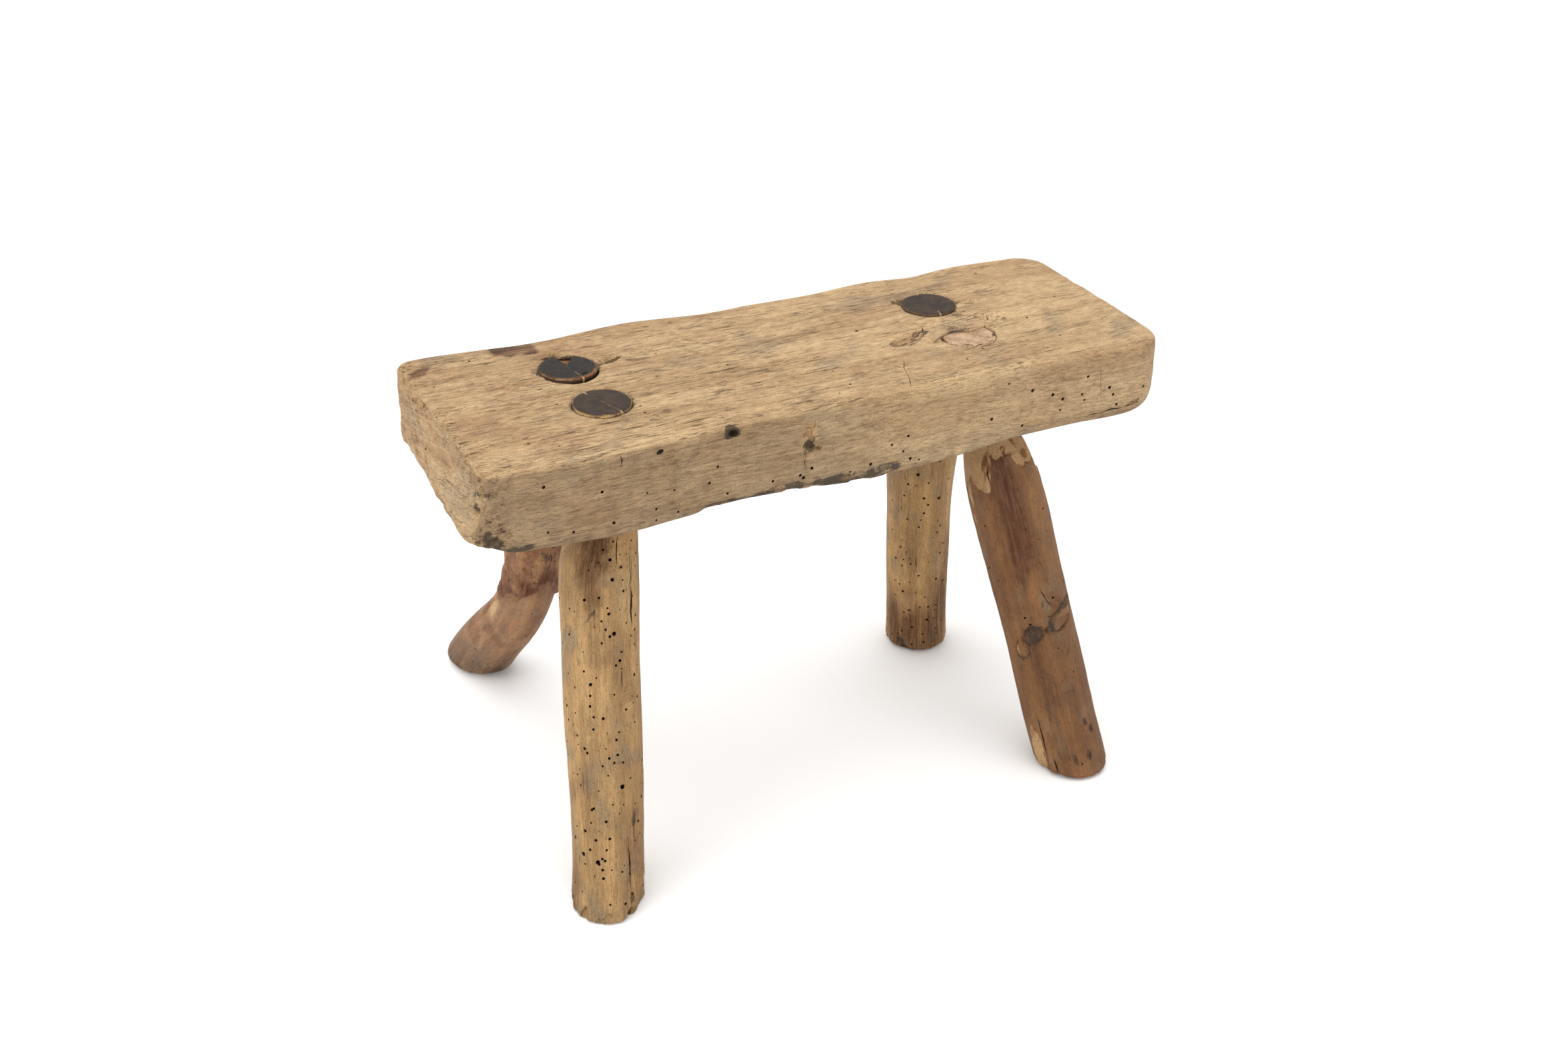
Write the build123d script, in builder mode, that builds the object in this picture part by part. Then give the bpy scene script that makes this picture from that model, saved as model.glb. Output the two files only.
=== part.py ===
from build123d import *

import math
import os

# A rustic four-legged milking stool: one hewn plank, four branch legs whose round
# tenons pass right through it, and a thin wedge driven into each tenon's end.
# Millimetres, +Z up, +X along the plank, -Y towards the front.
# The stool is laid out about the plank's middle and moved to its origin at the end.

# ---- Plank -------------------------------------------------------------------
SEAT_LENGTH = 434.0
SEAT_WIDTH = 154.0
SEAT_TOP = 270.0  # height of the sitting face above the floor
SEAT_THICKEST = 54.0
LEFT_FLARE = 3.5  # how far the left end's lower edge stands out past its upper edge

# The long edges wander in and out, and the underside is hewn hollow towards its ends.
# Each point is (share of the length from the middle, distance past the nominal line).
BACK_EDGE = (
    (-0.5, 2.5),
    (-0.38, 3.2),
    (-0.29, 0.8),
    (-0.2, 3.6),
    (-0.13, 2.8),
    (-0.05, -2.0),
    (0.02, -1.5),
    (0.1, -2.5),
    (0.18, 1.2),
    (0.24, 1.0),
    (0.28, -1.5),
    (0.34, 1.5),
    (0.42, 0.5),
    (0.5, -1.0),
)
FRONT_EDGE = (
    (-0.5, -1.0),
    (-0.38, 2.4),
    (-0.22, 0.0),
    (-0.09, -1.6),
    (0.03, -1.5),
    (0.12, -3.6),
    (0.27, -2.6),
    (0.38, 0.9),
    (0.5, 1.0),
)
UNDERSIDE = (
    (-0.5, 7.5),
    (-0.42, 5.0),
    (-0.3, 3.0),
    (-0.14, 5.0),
    (-0.06, 3.0),
    (0.04, 0.3),
    (0.12, 0.0),
    (0.19, 1.8),
    (0.29, 7.0),
    (0.38, 8.5),
    (0.5, 10.5),
)

CORNER_RADII = {(-1, -1): 11.0, (-1, 1): 11.0, (1, -1): 22.0, (1, 1): 20.0}  # by side in X and Y
TOP_RIM_RADIUS = 4.0
UNDER_RIM_RADIUS = 4.5

# ---- Tenons, mortises and wedges ---------------------------------------------
TENON_TOP_RADIUS = 17.0
TENON_TAPER = 0.02  # growth of the tenon's radius per millimetre below the sitting face
TENON_RIM = 0.9  # chamfer around the tenon's end
SHOULDER_DROP = 8.0  # the round tenon runs on this far below the plank
MOUTH_GAP = 1.0  # the mortise's mouth is worn this much wider than the tenon
MOUTH_DEPTH = 5.0
CUT_PAST = 14.0  # how far cutting shapes run past the faces they cut

WEDGE_DEPTH = 34.0
WEDGE_TOP_THICKNESS = 1.8
WEDGE_TIP_THICKNESS = 0.6

# ---- Legs --------------------------------------------------------------------
FOOT_RIM = 1.5  # worn chamfer around each foot

# tenon: its centre on the sitting face. splay: the compass direction of the lean.
# lean: degrees from upright. proud: how far the tenon stands above the sitting face.
# wedge: the direction that the wedge lies in. shank: sections from the shoulder down,
# as (height, distance out, distance sideways, radius out, radius sideways).
LEGS = {
    "front_left": {
        "tenon": (-125.0, -20.0),
        "splay": -114.5,
        "lean": 18.5,
        "proud": 1.4,
        "wedge": -71.0,
        "shank": (
            (192, 26, -2.4, 22.4, 21.8),
            (150, 42, -2.8, 22.0, 22.2),
            (110, 58, -2.0, 21.6, 21.9),
            (60, 77, 0, 21.2, 21.2),
            (0, 99, 0.2, 20.8, 21.0),
        ),
    },
    "back_left": {
        "tenon": (-126.0, 31.0),
        "splay": 103.5,
        "lean": 19.0,
        "proud": 0.8,
        "wedge": -79.0,
        "shank": (
            (192, 27, 0, 18.4, 18.4),
            (126, 48, -0.5, 17.8, 17.8),
            (82, 66.5, -1, 18.0, 17.6),
            (45, 96, -1.8, 19.6, 18.8),
            (0, 134, -2, 22.0, 21.0),
        ),
    },
    "back_right": {
        "tenon": (110.0, 27.0),
        "splay": 53.0,
        "lean": 9.0,
        "proud": 0.8,
        "wedge": -93.0,
        "shank": (
            (194, 12, 0, 22.2, 23.8),
            (160, 16, 0.6, 22.0, 23.8),
            (120, 21, 1, 20.8, 21.5),
            (60, 30.5, 0.5, 20.6, 21.3),
            (0, 40, -0.5, 21.0, 21.4),
        ),
    },
    "front_right": {
        "tenon": (108.5, -21.5),
        "splay": -64.5,
        "lean": 20.3,
        "proud": -0.4,
        "wedge": 31.0,
        "shank": (
            (190, 29.6, 0, 22.0, 22.0),
            (130, 51.8, 0.7, 22.8, 22.8),
            (65, 75.8, 1, 22.4, 22.2),
            (0, 100, 1, 22.6, 22.4),
        ),
    },
}


# ---- Where things are --------------------------------------------------------
def outward(leg, out, sideways, height):
    """A point at distances out along the leg's splay and sideways from its tenon's centre."""
    splay = math.radians(leg["splay"])
    x, y = leg["tenon"]
    return Vector(
        x + out * math.cos(splay) - sideways * math.sin(splay),
        y + out * math.sin(splay) + sideways * math.cos(splay),
        height,
    )


def across(leg):
    """Level direction at right angles to the leg's splay."""
    splay = math.radians(leg["splay"])
    return Vector(-math.sin(splay), math.cos(splay), 0)


def tenon_plane(leg):
    """Plane at the tenon's centre on the sitting face, with its normal up the leg."""
    rise = math.cos(math.radians(leg["lean"]))
    run = math.sin(math.radians(leg["lean"]))
    up_leg = outward(leg, -run, 0, rise) - outward(leg, 0, 0, 0)
    return Plane(origin=outward(leg, 0, 0, SEAT_TOP), x_dir=across(leg), z_dir=up_leg)


def tenon_radius(drop):
    """Radius of the tapered tenon at a distance down its axis from the sitting face."""
    return TENON_TOP_RADIUS + TENON_TAPER * drop


def tenon_reach(leg):
    """Distance down the leg's axis from the sitting face to the tenon's lower end."""
    return (SEAT_THICKEST + SHOULDER_DROP) / math.cos(math.radians(leg["lean"]))


def tenon_cone(leg, reach, mode):
    """The cone of a tenon and its mortise, from a reach down it to past the sitting face."""
    with Locations(tenon_plane(leg).offset(-reach)):
        Cone(
            bottom_radius=tenon_radius(reach),
            top_radius=tenon_radius(-CUT_PAST),
            height=reach + CUT_PAST,
            align=(Align.CENTER, Align.CENTER, Align.MIN),
            mode=mode,
        )


def mouth_cone(leg):
    """The worn, slightly wider mouth of a mortise."""
    with Locations(tenon_plane(leg).offset(-MOUTH_DEPTH)):
        Cone(
            bottom_radius=tenon_radius(MOUTH_DEPTH),
            top_radius=tenon_radius(-CUT_PAST) + MOUTH_GAP * (1 + CUT_PAST / MOUTH_DEPTH),
            height=MOUTH_DEPTH + CUT_PAST,
            align=(Align.CENTER, Align.CENTER, Align.MIN),
            mode=Mode.SUBTRACT,
        )


def end_plane(leg):
    """The level plane that a tenon and its wedge are cut off at."""
    return Plane.XY.offset(SEAT_TOP + leg["proud"])


def shank_planes(leg):
    """A plane across each of the shank's sections, and one more below the floor."""
    points = [outward(leg, 0, 0, SEAT_TOP)]
    points += [outward(leg, out, side, height) for height, out, side, _, _ in leg["shank"]]
    points.append(points[-1] + (points[-1] - points[-2]).normalized() * CUT_PAST * 2)
    planes = []
    for i in range(1, len(points)):
        ahead = points[min(i + 1, len(points) - 1)]
        planes.append(Plane(origin=points[i], x_dir=across(leg), z_dir=points[i - 1] - ahead))
    return planes


# ---- Seat plank --------------------------------------------------------------
half_length = SEAT_LENGTH / 2


def lengthwise(shape, start, step):
    """Points of one of the plank's long lines, run out on the left to its flared end."""
    points = [(share * SEAT_LENGTH, start + step * past) for share, past in shape]
    points[0] = (points[0][0] - LEFT_FLARE, points[0][1])
    return points


back_line = lengthwise(BACK_EDGE, SEAT_WIDTH / 2, 1)
front_line = lengthwise(FRONT_EDGE, -SEAT_WIDTH / 2, -1)
under_line = lengthwise(UNDERSIDE, SEAT_TOP - SEAT_THICKEST, 1)

with BuildPart() as seat_plank:
    with BuildSketch(Plane.XY.offset(SEAT_TOP)):
        with BuildLine():
            Spline(*back_line)
            Line(back_line[-1], front_line[-1])
            Spline(*front_line)
            Line(front_line[0], back_line[0])
        make_face()
    extrude(amount=-SEAT_THICKEST - CUT_PAST)
    with BuildSketch(Plane.XZ.offset(-SEAT_WIDTH)):
        with BuildLine():
            Line((-half_length, SEAT_TOP), (half_length, SEAT_TOP))
            Line((half_length, SEAT_TOP), under_line[-1])
            Spline(*under_line)
            Line(under_line[0], (-half_length, SEAT_TOP))
        make_face()
    extrude(amount=SEAT_WIDTH * 2, mode=Mode.INTERSECT)
    for (side_x, side_y), radius in CORNER_RADII.items():
        upright = seat_plank.edges().filter_by(
            lambda e: e.bounding_box().size.Z > SEAT_THICKEST / 2
            and e.center().X * side_x > half_length * 0.9
            and e.center().Y * side_y > 0
        )
        fillet(upright, radius)
    fillet(seat_plank.edges().group_by(Axis.Z)[-1], TOP_RIM_RADIUS)
    under_rim = seat_plank.edges().filter_by(
        lambda e: e.bounding_box().max.Z < SEAT_TOP - SEAT_THICKEST / 2
    )
    fillet(under_rim, UNDER_RIM_RADIUS)
    for leg in LEGS.values():
        tenon_cone(leg, tenon_reach(leg) + CUT_PAST, Mode.SUBTRACT)
        mouth_cone(leg)


# ---- Tenons and wedges --------------------------------------------------------
def make_tenon(leg):
    """The round tenon, cut off level and worn around its rim."""
    with BuildPart() as tenon:
        tenon_cone(leg, tenon_reach(leg), Mode.ADD)
        split(bisect_by=end_plane(leg), keep=Keep.BOTTOM)
        chamfer(tenon.edges().group_by(Axis.Z)[-1], TENON_RIM)
    return tenon.part


def make_blade(leg):
    """The wedge's tapered blade, longer than the tenon is wide and running out past its end."""
    level = Plane(origin=outward(leg, 0, 0, SEAT_TOP)).rotated((0, 0, leg["wedge"]))
    length = TENON_TOP_RADIUS * 3
    with BuildPart() as blade:
        with BuildSketch(level.offset(-WEDGE_DEPTH)):
            Rectangle(length, WEDGE_TIP_THICKNESS)
        with BuildSketch(level.offset(CUT_PAST)):
            Rectangle(length, WEDGE_TOP_THICKNESS)
        loft()
    return blade.part


def make_wedge(leg):
    """The wedge, trimmed to the round of its tenon and worn down with the tenon's end."""
    tenon = make_tenon(leg)
    blade = make_blade(leg)
    with BuildPart() as wedge:
        add(tenon)
        add(blade, mode=Mode.INTERSECT)
    return wedge.part


# ---- Legs --------------------------------------------------------------------
def make_leg(leg):
    """One branch leg: its shaved shoulder and shank under its tenon, slit for the wedge."""
    tenon = make_tenon(leg)
    blade = make_blade(leg)
    reach = tenon_reach(leg)
    stations = leg["shank"] + (leg["shank"][-1],)
    with BuildPart() as branch:
        with BuildSketch(tenon_plane(leg).offset(-reach)):
            Circle(tenon_radius(reach))
        for plane, (_, _, _, radius_out, radius_sideways) in zip(shank_planes(leg), stations):
            with BuildSketch(plane):
                Ellipse(radius_sideways, radius_out)
        loft()
        split(bisect_by=Plane.XY, keep=Keep.TOP)
        chamfer(branch.edges().group_by(Axis.Z)[0], FOOT_RIM)
        add(tenon)
        add(blade, mode=Mode.SUBTRACT)
    return branch.part


# ---- Origin, labels and files --------------------------------------------------
pieces = {"seat_plank": seat_plank.part}
for name, leg in LEGS.items():
    pieces["leg_" + name] = make_leg(leg)
    pieces["wedge_" + name] = make_wedge(leg)

# The origin is on the floor, under the middle of the box around the whole stool.
box = Compound(list(pieces.values())).bounding_box()
to_origin = Pos(-box.center().X, -box.center().Y, -box.min.Z)

os.makedirs("parts", exist_ok=True)
for name, piece in pieces.items():
    placed = to_origin * piece
    placed.label = name
    export_step(placed, "parts/" + name + ".step")
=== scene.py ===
import itertools
import math
import random

import bmesh
import bpy
import numpy as np
from mathutils import Matrix, Vector
from mathutils import noise as perlin
from mathutils.bvhtree import BVHTree


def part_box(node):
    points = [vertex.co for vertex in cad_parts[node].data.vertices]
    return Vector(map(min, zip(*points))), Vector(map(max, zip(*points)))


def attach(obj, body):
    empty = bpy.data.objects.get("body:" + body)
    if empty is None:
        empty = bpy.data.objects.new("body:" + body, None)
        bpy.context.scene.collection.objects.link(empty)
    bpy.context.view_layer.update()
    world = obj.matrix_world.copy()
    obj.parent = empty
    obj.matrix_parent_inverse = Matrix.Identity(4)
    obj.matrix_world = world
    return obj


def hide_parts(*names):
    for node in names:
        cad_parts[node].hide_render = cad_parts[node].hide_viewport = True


# A rustic milking stool: a hewn, weathered plank on four branch legs.
# Shapes are worked in millimetres, measured from the middle of the plank in X and Y
# and from the floor in Z, and are written to the meshes in metres in the row frame.

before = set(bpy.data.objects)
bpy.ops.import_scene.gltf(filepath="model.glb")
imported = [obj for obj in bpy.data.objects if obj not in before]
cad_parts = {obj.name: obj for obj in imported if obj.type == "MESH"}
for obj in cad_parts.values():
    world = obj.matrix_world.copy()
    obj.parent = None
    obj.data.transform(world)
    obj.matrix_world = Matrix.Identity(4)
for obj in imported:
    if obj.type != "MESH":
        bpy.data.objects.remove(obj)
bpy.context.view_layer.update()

MM = 0.001
SEAT_TOP = 270.0
SEAT_VOXEL = 1.65
LEG_VOXEL = 1.0
WEDGE_VOXEL = 0.6
LEFT_FLARE = 3.5
TENON_RADIUS = 17.0
LEG_RADIUS = 22.0
OVERLAP = 1.2  # how far outside the surface a cut starts
HOLE_SIDES = 9
SHARP_ANGLE = 48  # edges sharper than this, in degrees, stay crisp
seat_low, seat_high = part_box("seat_plank")
MIDDLE = Vector(
    (
        (seat_low.x + seat_high.x) / 2 + LEFT_FLARE / 2 * MM,
        (seat_low.y + seat_high.y) / 2 - 1.1 * MM,
        0.0,
    )
)
VIEW_TURN = -116.8  # compass direction, in degrees from +X, from the stool towards the camera


# ---- Points, noise and brushes -----------------------------------------------
def lumps(points, cell, seed):
    """Smooth noise from about -1 to 1, in lumps of the size cell, at an array of points."""
    random_slopes = np.random.default_rng(seed)
    order = random_slopes.permutation(256)
    slopes = random_slopes.normal(size=(256, 3))
    slopes /= np.linalg.norm(slopes, axis=1)[:, None]
    place = points / np.asarray(cell, float)
    corner = np.floor(place).astype(int)
    inside = place - corner
    fade = inside**3 * (inside * (inside * 6 - 15) + 10)
    total = np.zeros(len(points))
    for step in itertools.product((0, 1), repeat=3):
        at = corner + step
        index = order[(order[(order[at[:, 0] % 256] + at[:, 1]) % 256] + at[:, 2]) % 256]
        reach = ((inside - step) * slopes[index]).sum(axis=1)
        total += reach * np.prod(np.where(step, fade, 1 - fade), axis=1)
    return total * 1.6


def smooth(low, high, value):
    """0 below low, 1 above high, and a smooth rise between."""
    share = np.clip((value - low) / (high - low), 0, 1)
    return share * share * (3 - 2 * share)


def oval(u, v, at, size, turn=0.0, ragged=0.0):
    """Distance from the middle of an ellipse on a surface, 1 at its rim; ragged moves the rim."""
    angle = math.radians(turn)
    du, dv = u - at[0], v - at[1]
    along = (du * math.cos(angle) + dv * math.sin(angle)) / size[0]
    across = (dv * math.cos(angle) - du * math.sin(angle)) / size[1]
    return np.hypot(along, across) + ragged


def patch(u, v, at, size, turn=0.0, ragged=0.0, edge=0.6):
    """1 inside an elliptical patch of a surface and 0 outside, with a soft edge."""
    return 1 - smooth(1 - edge, 1, oval(u, v, at, size, turn, ragged))


def outline(u, v, at, size, turn=0.0, ragged=0.0, width=0.2):
    """1 on the rim of an ellipse on a surface, fading to 0 inside and outside it."""
    return smooth(width, width / 2, np.abs(oval(u, v, at, size, turn, ragged) - 1 + width))


def strongest(*layers):
    """The highest of several layers at each point."""
    return np.maximum.reduce(layers)


# ---- Objects from CAD shapes ---------------------------------------------------
def bake(piece):
    """Applies a piece's modifiers to its mesh."""
    graph = bpy.context.evaluated_depsgraph_get()
    mesh = bpy.data.meshes.new_from_object(piece.evaluated_get(graph))
    piece.modifiers.clear()
    piece.data = mesh


def even_copy(node, voxel):
    """A new object with a CAD node's shape, in even small faces that can be worked."""
    piece = bpy.data.objects.new(node + "_wood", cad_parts[node].data.copy())
    bpy.context.scene.collection.objects.link(piece)
    remesh = piece.modifiers.new("even", "REMESH")
    remesh.mode = "VOXEL"
    remesh.voxel_size = voxel * MM
    relax = piece.modifiers.new("relax", "SMOOTH")
    relax.factor = 0.5
    relax.iterations = 2
    bake(piece)
    return piece


def read_points(piece):
    """A piece's points in millimetres from the plank's middle, and their normals."""
    count = len(piece.data.vertices)
    points = np.empty(count * 3)
    normals = np.empty(count * 3)
    piece.data.vertices.foreach_get("co", points)
    piece.data.vertices.foreach_get("normal", normals)
    points = (points.reshape(-1, 3) - np.array(MIDDLE)) / MM
    return points, normals.reshape(-1, 3)


def write_points(piece, points):
    """Moves a piece's points to places given in millimetres from the plank's middle."""
    piece.data.vertices.foreach_set("co", (points * MM + np.array(MIDDLE)).ravel())
    piece.data.update()


def paint(piece, name, values):
    """Stores a value or a vector for each point, which the materials read by name."""
    kind = "FLOAT_VECTOR" if values.ndim == 2 else "FLOAT"
    layer = piece.data.attributes.new(name, kind, "POINT")
    layer.data.foreach_set("vector" if values.ndim == 2 else "value", values.ravel().astype(np.float32))


def paint_layers(piece, **layers):
    """Paints what the woods read, each from 0 to 1. Layers that aren't given are 0 everywhere."""
    nothing = np.zeros(len(piece.data.vertices))
    for name in ("dark", "grey", "red", "pale", "shade", "fissures", "polish"):
        paint(piece, name, np.clip(layers.get(name, nothing), 0, 1))


# ---- Cutting shapes -------------------------------------------------------------
class Cutters:
    """Closed shapes to cut out of a piece: wormholes, cracks and chips. Shapes that may meet
    each other go into separate passes, because a mesh that crosses itself doesn't cut cleanly.
    A cut shows the piece's own wood inside, or that of a hole where dark is 1."""

    def __init__(self, piece, seed=0):
        self.piece = piece
        self.chance = random.Random(seed)
        self.passes = []
        self.holes = []
        points, _ = read_points(piece)
        faces = [face.vertices[:] for face in piece.data.polygons]
        self.surface = BVHTree.FromPolygons(points.tolist(), faces)

    def room(self, points):
        """The mesh of the first pass where a shape with these outer points meets no other."""
        low, high = np.min(points, axis=0), np.max(points, axis=0)
        for shapes, boxes in self.passes:
            if not any((low < top).all() and (high > bottom).all() for bottom, top in boxes):
                break
        else:
            shapes, boxes = bmesh.new(), []
            self.passes.append((shapes, boxes))
        boxes.append((low, high))
        return shapes

    def strike(self, start, ahead):
        """Where a straight line first meets the piece, and the way the surface faces there."""
        place, normal, _, _ = self.surface.ray_cast(Vector(start), Vector(ahead).normalized())
        return place, normal

    def loft(self, rings, dark):
        """Adds a closed shape through rings that all have the same number of points."""
        shapes = self.room([point for ring in rings for point in ring])
        loops = [[shapes.verts.new(point) for point in ring] for ring in rings]
        faces = [shapes.faces.new(loops[0]), shapes.faces.new(loops[-1])]
        for lower, upper in itertools.pairwise(loops):
            for index in range(len(lower)):
                after = (index + 1) % len(lower)
                faces.append(shapes.faces.new((lower[index], lower[after], upper[after], upper[index])))
        for face in faces:
            face.material_index = dark

    def wormhole(self, spot, radius):
        """A round hole a few diameters deep, roughly square to the surface."""
        place, normal = spot
        lean = Vector([self.chance.uniform(-0.3, 0.3) for _ in range(3)])
        inward = (lean - normal).normalized()
        side = inward.orthogonal().normalized()
        other = inward.cross(side) * self.chance.uniform(0.82, 1.0)
        depth = radius * self.chance.uniform(3.5, 6.0)
        turns = [math.tau * step / HOLE_SIDES for step in range(HOLE_SIDES)]
        arms = [(side * math.cos(turn) + other * math.sin(turn)) * radius for turn in turns]
        levels = ((-OVERLAP, 1.05), (0.6 * depth, 0.95), (depth, 0.5))
        self.loft([[place + inward * reach + arm * wide for arm in arms] for reach, wide in levels], 1)
        self.holes.append(place)

    def crack(self, spots, width, depth):
        """A V-shaped cut through spots on the surface, widest in the middle."""
        spots = [spot for spot in spots if spot[0] is not None]
        if len(spots) < 2:
            return
        rings = []
        for index, (place, normal) in enumerate(spots):
            before = spots[max(index - 1, 0)][0]
            after = spots[min(index + 1, len(spots) - 1)][0]
            side = normal.cross(after - before).normalized()
            uneven = 1 + 0.5 * perlin.noise((index * 0.9, place.x, place.z))
            gape = max(math.sin(math.pi * index / (len(spots) - 1)) * uneven, 0.1)
            deep = max(depth * gape, 0.3)
            half = width / 2 * gape * (1 + OVERLAP / deep)
            top = place + normal * OVERLAP
            rings.append([top + side * half, top - side * half, place - normal * deep])
        self.loft(rings, 1)

    def chip(self, spot, along, size, dark=0, rough=1.0):
        """A hollow: a more or less lumpy ball, of the half sizes (along, across, deep), sunk in."""
        place, normal = spot
        if place is None:
            return
        along = Vector(along)
        along = (along - normal * along.dot(normal)).normalized()
        across = normal.cross(along)
        shift = Vector([self.chance.uniform(0, 50) for _ in range(3)])
        reach = Vector((1, 1, 1)) * max(size) * 1.3
        shapes = self.room([place - reach, place + reach])
        ball = bmesh.ops.create_icosphere(shapes, subdivisions=3, radius=1.0)["verts"]
        for vertex in ball:
            lump = 0.35 * perlin.noise(vertex.co * 1.3 + shift)
            lump += 0.15 * perlin.noise(vertex.co * 4 + shift)
            ray = vertex.co * (1 + lump * rough)
            vertex.co = (
                place + along * ray.x * size[0] + across * ray.y * size[1] + normal * ray.z * size[2]
            )
            for face in vertex.link_faces:
                face.material_index = dark

    def scatter(self, find, count, gap, radii):
        """Wormholes at random spots that find() gives, none closer than gap to another hole."""
        made = 0
        for _ in range(count * 30):
            spot = find()
            if spot[0] is None or any((spot[0] - place).length < gap for place in self.holes):
                continue
            self.wormhole(spot, self.chance.uniform(*radii))
            made += 1
            if made == count:
                return

    def cut(self, operation="DIFFERENCE"):
        """Takes the shapes out of the piece, or joins them to it with the operation UNION."""
        for shapes, _ in self.passes:
            bmesh.ops.recalc_face_normals(shapes, faces=shapes.faces)
            mesh = bpy.data.meshes.new("cutters")
            shapes.to_mesh(mesh)
            shapes.free()
            mesh.transform(Matrix.Translation(MIDDLE) @ Matrix.Scale(MM, 4))
            tool = bpy.data.objects.new("cutters", mesh)
            bpy.context.scene.collection.objects.link(tool)
            boolean = self.piece.modifiers.new("cut", "BOOLEAN")
            boolean.operation = operation
            boolean.solver = "MANIFOLD"
            boolean.object = tool
            bake(self.piece)
            bpy.data.objects.remove(tool)
        drop_crumbs(self.piece)


def drop_crumbs(piece):
    """Takes away the loose bits that cutting may leave: only the largest part is kept."""
    mesh = bmesh.new()
    mesh.from_mesh(piece.data)
    unseen = set(mesh.verts)
    parts = []
    while unseen:
        part = [unseen.pop()]
        for vertex in part:
            for edge in vertex.link_edges:
                other = edge.other_vert(vertex)
                if other in unseen:
                    unseen.remove(other)
                    part.append(other)
        parts.append(part)
    parts.sort(key=len)
    crumbs = [vertex for part in parts[:-1] for vertex in part]
    bmesh.ops.delete(mesh, geom=crumbs, context="VERTS")
    mesh.to_mesh(piece.data)
    mesh.free()


# ---- Materials --------------------------------------------------------------------
def tint(red, green, blue):
    """A colour as a screen shows it, from 0 to 255, turned into a linear one."""
    return (*(((level / 255 + 0.055) / 1.055) ** 2.4 for level in (red, green, blue)), 1.0)


class Graph:
    """The nodes of one material. Each method adds some and gives back an output."""

    def __init__(self, name):
        self.material = bpy.data.materials.new(name)
        self.material.use_nodes = True
        self.tree = self.material.node_tree
        self.tree.nodes.clear()
        self.colour = None

    def add(self, kind, wires, output=0, **settings):
        """A node with its settings, and its inputs wired to outputs or set to values."""
        node = self.tree.nodes.new("ShaderNode" + kind)
        for name, value in settings.items():
            setattr(node, name, value)
        for name, value in wires.items():
            if isinstance(value, bpy.types.NodeSocket):
                self.tree.links.new(value, node.inputs[name])
            else:
                node.inputs[name].default_value = value
        return node.outputs[output] if node.outputs else None

    def painted(self, name, output="Fac"):
        """What is painted on the points under a name."""
        return self.add("Attribute", {}, output, attribute_name=name)

    def math(self, operation, first, second):
        return self.add("Math", {0: first, 1: second}, operation=operation)

    def noise(self, place, across, along, detail=2.0, roughness=0.5, output=0):
        """Noise in lumps of a size across the grain and a size along it, in mm."""
        density = (1 / across, 1 / across, 1 / along)
        scaled = self.add("VectorMath", {0: place, 1: density}, operation="MULTIPLY")
        wires = {"Vector": scaled, "Scale": 1.0, "Detail": detail, "Roughness": roughness}
        return self.add("TexNoise", wires, output)

    def rise(self, value, low, high, bottom=0.0, top=1.0):
        """bottom where the value is under low, top where it is over high, and smooth between."""
        wires = {"Value": value, "From Min": low, "From Max": high, "To Min": bottom, "To Max": top}
        return self.add("MapRange", wires, interpolation_type="SMOOTHSTEP")

    def broken(self, name, pattern, low, high, least):
        """What is painted, broken up: weakened to its least share where a pattern is low."""
        return self.math("MULTIPLY", self.painted(name), self.rise(pattern, low, high, least, 1.0))

    def blend(self, share, first, second, mode="MIX"):
        return self.add("Mix", {0: share, 6: first, 7: second}, 2, data_type="RGBA", blend_type=mode)

    def coat(self, share, colour, mode="MIX"):
        """Lays a colour over the one so far, as strongly as its share says."""
        self.colour = self.blend(share, self.colour, colour, mode)

    def total(self, *parts):
        """The sum of values that each have a weight."""
        result = 0.0
        for value, weight in parts:
            result = self.add("Math", {0: value, 1: weight, 2: result}, operation="MULTIPLY_ADD")
        return result

    def finish(self, roughness, height):
        """The surface shader. The height is in mm."""
        normal = self.add("Bump", {"Height": height, "Distance": MM, "Strength": 1.0})
        wires = {"Base Color": self.colour, "Roughness": roughness, "Normal": normal}
        surface = self.add("BsdfPrincipled", {**wires, "Specular IOR Level": 0.3})
        self.add("OutputMaterial", {"Surface": surface})
        return self.material


GREY = tint(132, 121, 100)
RED = tint(138, 88, 54)
PALE = tint(188, 153, 108)
DARK = tint(50, 39, 30)
LINE_SHADE = tint(140, 112, 86)
GRIT_SHADE = tint(128, 104, 80)
BROWN_SHADE = tint(126, 92, 62)


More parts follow.
